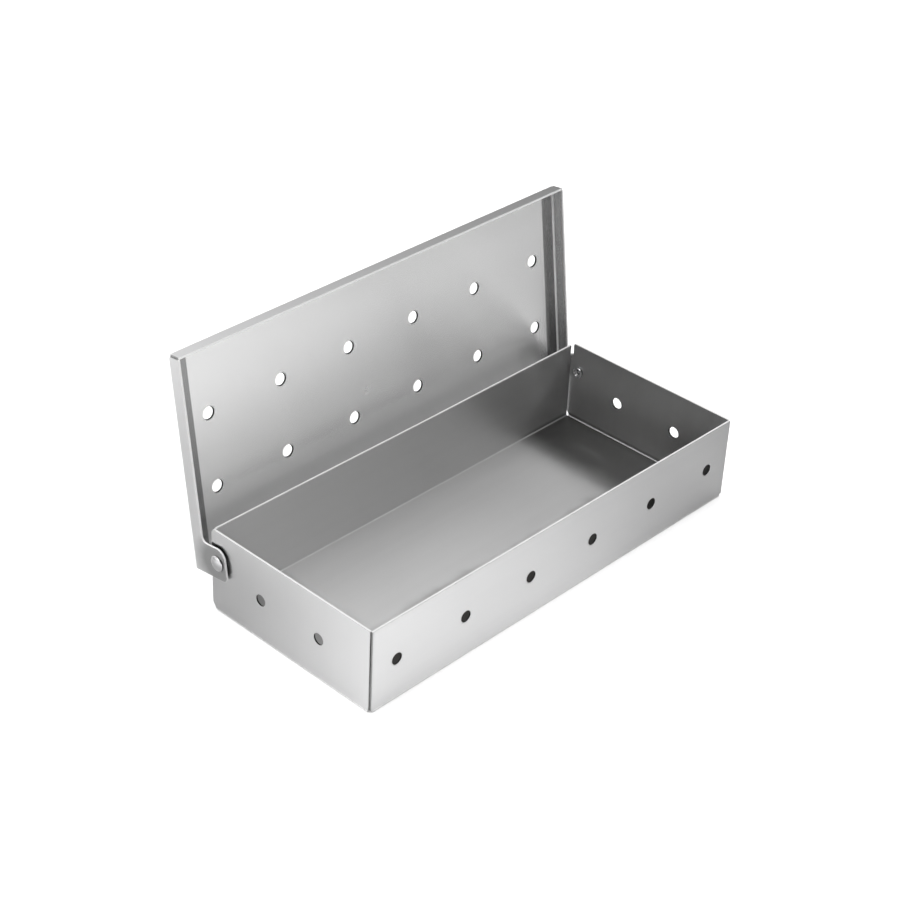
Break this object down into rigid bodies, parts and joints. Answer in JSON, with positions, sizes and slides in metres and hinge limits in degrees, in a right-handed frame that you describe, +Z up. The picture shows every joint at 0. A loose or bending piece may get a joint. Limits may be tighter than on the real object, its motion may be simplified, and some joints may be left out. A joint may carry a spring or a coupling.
{
  "type": "grill smoker box",
  "caption": "Folded sheet-steel tray with round vents and a vented, flanged lid that swings up and back on riveted ears.",
  "frame": {"origin": "middle of the tray's underside", "axes": "+X along the tray's length to its right end as seen from the front, +Y towards the hinged back, +Z up"},
  "size_m": [0.2264, 0.1135, 0.113],
  "materials": {
    "tray_steel": "fine brushed satin",
    "lid_steel": "fine brushed satin",
    "rivet_steel": "bright, cold-formed",
    "spacer_steel": "dull, punched"
  },
  "bodies": {
    "base": {"tray": "tray_steel", "hinge_rivet_left": "rivet_steel", "hinge_rivet_right": "rivet_steel", "hinge_spacer_left": "spacer_steel", "hinge_spacer_right": "spacer_steel"},
    "cover": {"lid": "lid_steel"}
  },
  "joints": [
    {"name": "lid_swing", "type": "hinge", "parent": "base", "child": "cover", "pos_m": [0, 0.0405, 0.0264], "axis": [-1, 0, 0], "range_deg": [-98.25, 34.3]}
  ]
}
